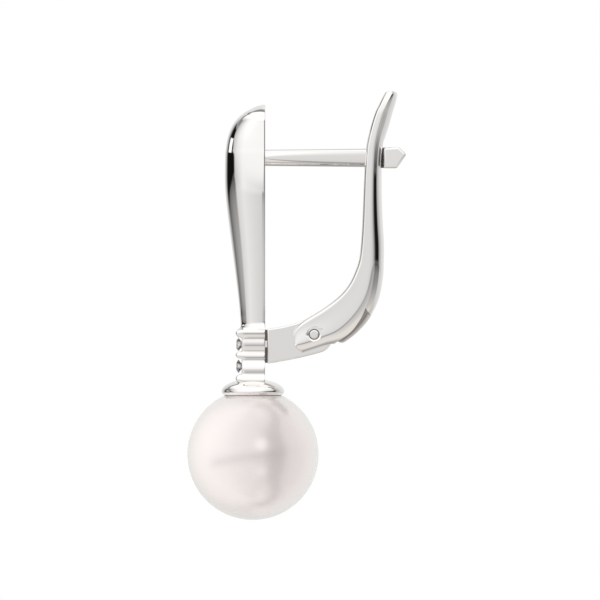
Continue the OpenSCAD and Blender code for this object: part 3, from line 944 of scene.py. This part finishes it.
# Inner edge (y, z), outer edge (y, z), share of the full width, where between the edges the crease runs, how
# square the outer part is (2 is an ellipse), and the slope of its facet.
LEVER_ROWS = [
    (4.38, 4.03, 4.80, 4.055, 0.80, 0.45, 2.0, 0.0), (4.31, 4.015, 4.93, 4.01, 0.86, 0.45, 2.0, 0.0),
    (4.26, 3.98, 4.995, 3.90, 0.895, 0.45, 2.0, 0.0), (4.215, 3.90, 5.00, 3.76, 0.925, 0.45, 2.0, 0.0),
    (4.085, 3.67, 4.945, 3.50, 0.966, 0.44, 2.0, 0.0), (3.965, 3.43, 4.87, 3.23, 0.985, 0.43, 2.0, 0.0),
    (3.825, 3.13, 4.775, 2.93, 0.995, 0.43, 2.0, 0.0), (3.655, 2.79, 4.68, 2.61, 1.00, 0.43, 2.0, 0.0),
    (3.415, 2.06, 4.48, 1.88, 1.00, 0.43, 2.0, 0.0), (3.25, 1.39, 4.28, 1.27, 1.00, 0.43, 2.0, 0.0),
    (3.10, 0.60, 4.14, 0.54, 1.00, 0.43, 2.0, 0.0), (3.01, -0.44, 4.07, -0.44, 1.00, 0.43, 2.0, 0.0),
    (2.95, -1.60, 4.055, -1.60, 1.00, 0.43, 2.0, 0.0), (2.90, -2.88, 4.08, -2.88, 1.00, 0.43, 2.0, 0.0),
    (2.85, -4.10, 4.13, -4.10, 1.00, 0.44, 2.0, 0.0), (2.78, -5.20, 4.20, -5.32, 1.00, 0.46, 2.0, 0.0),
    (2.67, -6.17, 4.18, -6.60, 1.00, 0.50, 2.1, 0.02), (2.45, -6.87, 4.12, -7.42, 1.00, 0.53, 2.2, 0.05),
    (2.06, -7.70, 3.82, -8.79, 1.00, 0.59, 2.4, 0.10), (1.45, -8.43, 3.02, -10.15, 1.00, 0.64, 2.8, 0.15),
    (0.53, -9.16, 1.87, -11.17, 1.00, 0.68, 3.5, 0.20), (-0.26, -9.65, 0.82, -11.40, 1.00, 0.73, 4.5, 0.22),
    (-0.78, -9.97, -0.08, -11.67, 1.00, 0.74, 5.0, 0.22),
    (-1.13, -10.26, -0.72, -11.88, 1.00, 0.70, 5.0, 0.22),
    (-1.30, -10.55, -0.85, -11.87, 1.00, 0.66, 5.0, 0.22),
    (-1.348, -10.87, -0.95, -11.80, 1.00, 0.62, 5.0, 0.22),
    (-1.335, -11.15, -1.04, -11.73, 1.00, 0.55, 5.0, 0.22),
    (-1.30, -11.33, -1.12, -11.64, 1.00, 0.50, 5.0, 0.22),
]
# Where a section has its points: on the inner face, round its rim in degrees, along the flat side, and past
# the crease.
INNER_SUPPORT = 0.3
EDGE_ANGLES = (0, 18, 36, 50, 62, 72, 81)
FLAT_SHARES = (0.0, 0.08, 0.2, 0.35, 0.5, 0.65, 0.8, 0.87, 0.91, 0.95, 0.98, 1.0)
OUTER_SHARES = (0.05, 0.1, 0.17, 0.25, 0.35, 0.46, 0.58, 0.7, 0.8, 0.88, 0.94, 0.98, 1.0)


def lever_section(inner_y, inner_z, outer_y, outer_z, width, widest, power, facet, shrink=1.0, rise=(0, 0)):
    """One section of the arm: inner face, rim, flat side, and the outer part behind the crease."""
    inner, outer = Vector((0, inner_y, inner_z)), Vector((0, outer_y, outer_z))
    across = outer - inner
    half = LEVER_HALF * width
    corner = LEVER_EDGE / across.length
    side_fall = SIDE_FALL * (power - 1)
    side = [(0, 0), (0, INNER_SUPPORT * half)]
    for angle in EDGE_ANGLES:
        a = math.radians(angle)
        side.append((corner * (1 - math.cos(a)), half - side_fall - LEVER_EDGE_WIDE * (1 - math.sin(a))))
    flat = (widest - corner) * across.length
    for share in FLAT_SHARES:
        fall = side_fall * (1 + math.cos(math.pi * share)) / 2
        roll = CREASE_ROLL * max(0, 1 - (1 - share) * flat / ROLL_REACH) ** 2
        side.append((corner + (widest - corner) * share, half - fall - roll))
    reach = across.length * (1 - widest)
    for share in OUTER_SHARES:
        arch = (1 - share ** power) ** (1 / power)
        side.append((widest + (1 - widest) * share, (half - CREASE_ROLL - facet * reach * share) * arch))
    both = side + [(share, -x) for share, x in reversed(side[1:-1])]
    middle = inner + across / 2
    ring = [inner + across * share + Vector((x, 0, 0)) for share, x in both]
    return [middle + (point - middle) * shrink + Vector((0, *rise)) for point in ring]


# Each end is closed by a smaller section, moved outwards by (y, z).
END_SHRINK = 0.5
TIP_RISE = (0, 0.01)
FOOT_RISE = (-0.015, -0.012)

sections = [lever_section(*row) for row in curved(LEVER_ROWS, steps=2)]
tip = [lever_section(*LEVER_ROWS[0], shrink=END_SHRINK, rise=TIP_RISE)]
foot = [lever_section(*LEVER_ROWS[-1], shrink=END_SHRINK, rise=FOOT_RISE)]
lever = loft("lever_arm", tip + sections + foot, levels=1)

# %% Cuts in the lever
# The slot for the post: half width, bottom, the radius of its top round the hinge, and first place, last place
# and step along Y, in tenths of a millimetre.
SLOT_HALF = 0.48
SLOT_BOTTOM = -0.70
SLOT_TOP_R = 12.64
SLOT_FROM, SLOT_TO, SLOT_STEP = 26, 48, 2
# The space for the bracket: half width, radius round the hinge, degrees a step, and how far it is open in
# front.
FORK_HALF = 0.56
FORK_R = 1.52
FORK_STEP = 4
FORK_REACH = 3
# The line (y, z) where the arm steps back to the rib, the end of that step, and how far down the cut goes.
RIB_LINE = [
    (3.06, -9.16), (2.85, -9.65), (2.60, -10.06), (2.29, -10.48), (1.94, -10.80), (1.46, -11.13),
    (1.22, -11.27),
]
RIB_STEP_END = (4.07, -10.62)
RIB_CUT_BOTTOM = -12.4

slot_places = [tenths / 10 for tenths in range(SLOT_FROM, SLOT_TO + 1, SLOT_STEP)]
slot_top = [(y, HINGE[1] + math.sqrt(SLOT_TOP_R ** 2 - (y - HINGE[0]) ** 2)) for y in slot_places]
slot_bottom = [(slot_places[-1], SLOT_BOTTOM), (slot_places[0], SLOT_BOTTOM)]
carve(lever, slab("post_slot", slot_top + slot_bottom, SLOT_HALF))
round_end = [
    (HINGE[0] + FORK_R * math.cos(a), HINGE[1] + FORK_R * math.sin(a))
    for a in (math.radians(angle) for angle in range(90, -91, -FORK_STEP))
]
open_y, open_low, open_high = HINGE[0] - FORK_REACH, HINGE[1] - FORK_REACH, HINGE[1] + FORK_REACH
fork = [(open_y, open_high), (HINGE[0], open_high)] + round_end + [(HINGE[0], open_low), (open_y, open_low)]
carve(lever, slab("fork_space", fork, FORK_HALF))
beyond = curved(RIB_LINE) + [(RIB_LINE[-1][0], RIB_CUT_BOTTOM), (RIB_STEP_END[0], RIB_CUT_BOTTOM), RIB_STEP_END]
carve(lever, slab("rib_step", beyond, 2 * LEVER_HALF))

# Radii of the pin's seats, and where each begins and ends along X.
BORE_R, COUNTERBORE_R, COUNTERSINK_R = 0.25, 0.345, 0.44
COUNTERBORE_AT, COUNTERSINK_AT, COUNTERSINK_END, CUTTER_END = 1.00, 1.145, 1.195, 1.6
half_spool = [
    (BORE_R, 0), (BORE_R, COUNTERBORE_AT), (COUNTERBORE_R, COUNTERBORE_AT), (COUNTERBORE_R, COUNTERSINK_AT),
    (COUNTERSINK_R, COUNTERSINK_END), (COUNTERSINK_R, CUTTER_END), (0, CUTTER_END),
]
spool = [(radius, -along) for radius, along in reversed(half_spool[1:])] + half_spool
carve(lever, turned("pin_seats", spool, (0, *HINGE), "X", SMALL_TURN))
smooth(lever, angle=30)
place(lever, "lever_back", "lever", metal)

# %% [markdown]
# Between the ears the lever runs on as a narrower rib with a dull satin finish and a brown of painted shade.

# %% Lever rib
RIB_HALF = 0.56
# Share of the rib's height with straight sides, place of the base's support point, and degrees a step.
RIB_BASE = 0.4
RIB_SUPPORT = 0.6
RIB_ARC_STEP = 18
# Inner edge (y, z), hidden in the arm, and outer edge (y, z).
RIB_ROWS = [
    (3.00, -9.05, 3.66, -9.12), (2.72, -9.45, 3.38, -9.68), (2.45, -9.92, 3.03, -10.15),
    (2.10, -10.35, 2.50, -10.70), (1.72, -10.68, 2.10, -11.02), (1.52, -10.88, 1.86, -11.19),
    (1.36, -11.00, 1.70, -11.27), (1.28, -11.08, 1.55, -11.275), (1.25, -11.13, 1.45, -11.24),
]


def rib_section(inner_y, inner_z, outer_y, outer_z):
    """One section of the rib: a flat base, straight sides and a round outer edge."""
    inner, outer = Vector((0, inner_y, inner_z)), Vector((0, outer_y, outer_z))
    side = [(0, 0), (0, RIB_SUPPORT * RIB_HALF), (0, RIB_HALF), (RIB_BASE / 2, RIB_HALF)]
    for angle in range(0, 91, RIB_ARC_STEP):
        a = math.radians(angle)
        side.append((RIB_BASE + (1 - RIB_BASE) * math.sin(a), RIB_HALF * math.cos(a)))
    both = side + [(share, -x) for share, x in reversed(side[1:-1])]
    return [inner + (outer - inner) * share + Vector((x, 0, 0)) for share, x in both]


rib = loft("lever_rib", [rib_section(*row) for row in curved(RIB_ROWS, steps=2)], levels=2)
smooth(rib, angle=50)
place(rib, "lever_back", "lever", satin_painted_shade)

# %% [markdown]
# ## The hinge pin
# The pin is a straight shank with a riveted head on each side. It is turned like the cap, round the hinge's
# axis.

# %% Hinge pin
PIN_R = 0.22
PIN_HEAD_R = 0.275
PIN_HEAD_FROM, PIN_HEAD_TO = 1.02, 1.15
PIN_RIM = 0.06
# Degrees between the rim's points, and how far inside the rim the flat crown has a support point.
PIN_RIM_STEP = 15
CROWN_SUPPORT = 0.02

rim = [
    (PIN_HEAD_R - PIN_RIM + PIN_RIM * math.cos(a), PIN_HEAD_TO - PIN_RIM + PIN_RIM * math.sin(a))
    for a in (math.radians(angle) for angle in range(0, 91, PIN_RIM_STEP))
]
crown = [(PIN_HEAD_R - PIN_RIM - CROWN_SUPPORT, PIN_HEAD_TO), (0, PIN_HEAD_TO)]
half_pin = [(PIN_R, 0), (PIN_R, PIN_HEAD_FROM), (PIN_HEAD_R, PIN_HEAD_FROM)] + rim + crown
pin_profile = [(radius, -along) for radius, along in reversed(half_pin[1:])] + half_pin
pin = turned("hinge_pin", pin_profile, (0, *HINGE), "X", SMALL_TURN)
smooth(pin, angle=35)
place(pin, "front", "hinge_pin", metal)

# %% [markdown]
# A dark ring of painted shade sits in the gap round each rivet head. It belongs to the lever's seat, so it
# turns with the lever.

# %% Painted shade in the pin seats
SEAT_SHADE_INNER, SEAT_SHADE_OUTER = 0.280, 0.330
SEAT_SHADE_FROM, SEAT_SHADE_TO = 1.002, 1.09

# Each ring is painted shade in the gap round a rivet head.
for name, side in (("seat_shade_near", 1), ("seat_shade_far", -1)):
    corners = [
        (SEAT_SHADE_INNER, SEAT_SHADE_FROM), (SEAT_SHADE_OUTER, SEAT_SHADE_FROM), (SEAT_SHADE_OUTER, SEAT_SHADE_TO),
        (SEAT_SHADE_INNER, SEAT_SHADE_TO), (SEAT_SHADE_INNER, SEAT_SHADE_FROM),
    ]
    profile = [(radius, side * along) for radius, along in corners]
    seat_shade = turned(name, profile, (0, *HINGE), "X", SMALL_TURN)
    smooth(seat_shade, angle=35)
    place(seat_shade, "lever_back", "lever", painted_shade)

# %% [markdown]
# ## The pearl
# A pearl is a ball of thin clear layers. Its lustre comes from inside as well as from the surface, so the
# finish is half soft mirror and half pale pink body, under a thin clear coat. An edge tint makes its rim a
# little greener. The ball is spun from a half circle that starts at the rim of the drilled hole.

# %% Pearl
BORE_HALF = 0.5
BORE_FLOOR = -0.3
PEARL_TURNS = 72


def nacre():
    material = bpy.data.materials.new("pink_white_nacre")
    tree = Tree(material)
    place_on = tree.node("TexCoord", output="Object")
    clouds = tree.node("TexNoise", {}, {"Vector": place_on, "Scale": 350.0, "Detail": 3.0})
    skin = tree.node("TexNoise", {}, {"Vector": place_on, "Scale": 5000.0, "Detail": 2.0})
    bump = tree.node("Bump", {}, {"Height": skin, "Strength": 0.08, "Distance": 0.00001})
    surface = tree.node("BsdfPrincipled", {}, {
        "Base Color": tree.mix(clouds, (0.895, 0.82, 0.805, 1), (0.915, 0.85, 0.835, 1)), "Metallic": 0.42,
        "Roughness": 0.22 + clouds * 0.06, "Coat Weight": 0.6, "Coat Roughness": 0.2, "Normal": bump,
        "Specular Tint": (0.84, 0.96, 0.89, 1),
    })
    tree.node("OutputMaterial", {}, {"Surface": surface})
    return material


mouth = math.asin(BORE_HALF / PEARL_R)
ball = [
    (PEARL_R * math.sin(a), PEARL_R * math.cos(a))
    for a in (mouth + (math.pi - mouth) * k / PEARL_TURNS for k in range(PEARL_TURNS + 1))
]
ball[-1] = (0, -PEARL_R)
pearl = turned("pearl_body", [(0, BORE_FLOOR), (BORE_HALF, BORE_FLOOR)] + ball, PEARL_AT)
smooth(pearl, angle=35)
place(pearl, "front", "pearl", nacre())


# %% [markdown]
# ## The stones
# The stones of the imported model are already cut with all their facets, so they stay. They only get their
# glass: a clear body with a high index. A real brilliant also shows dark flames where its back facets look
# into the metal, and sparks of split colour. These are too fine to come from the room alone, so they are
# painted into the body's colour as painted reflections: dark bands for the flames, warm spots for the sparks.

# %% Stones
PAINTED_REFLECTION_DARK = (0.05, 0.07, 0.13, 1)
PAINTED_SPARK = (1.0, 0.55, 0.18, 1)
CLEAR = (0.93, 0.96, 1.0, 1)


def crystal(name, middle):
    """Clear glass with painted reflections: two dark flames and a few warm sparks round the middle height, in
    metres.
    """
    material = bpy.data.materials.new(name)
    tree = Tree(material)
    place_on = tree.node("TexCoord", output="Object")
    height = (tree.parts(place_on)[2] - middle) / MM
    ragged = tree.node("TexNoise", {}, {"Vector": place_on, "Scale": 4500.0, "Detail": 2.0})
    fine = tree.node("TexNoise", {}, {"Vector": place_on, "Scale": 9000.0, "Detail": 1.0})
    height = height + (ragged - 0.5) * 0.4
    # The flames and sparks are painted reflections in the body's colour.
    painted_flames = tree.band(height, 0.15, 0.33, 0.05) + tree.band(height, -0.27, -0.13, 0.05)
    colour = tree.mix(painted_flames, CLEAR, PAINTED_REFLECTION_DARK)
    colour = tree.mix(tree.step(fine, 0.62, 0.68) * (1 - painted_flames), colour, PAINTED_SPARK)
    surface = tree.node("BsdfPrincipled", {}, {
        "Base Color": colour, "Roughness": 0.0, "Transmission Weight": 1.0, "IOR": 2.2,
    })
    tree.node("OutputMaterial", {}, {"Surface": surface})
    return material


for name in ("stone_upper", "stone_lower"):
    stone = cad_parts[name]
    lowest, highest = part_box(name)
    stone.data.materials.clear()
    stone.data.materials.append(crystal(name + "_glass", (lowest[2] + highest[2]) / 2))
    print(name, len(stone.data.polygons), "faces")
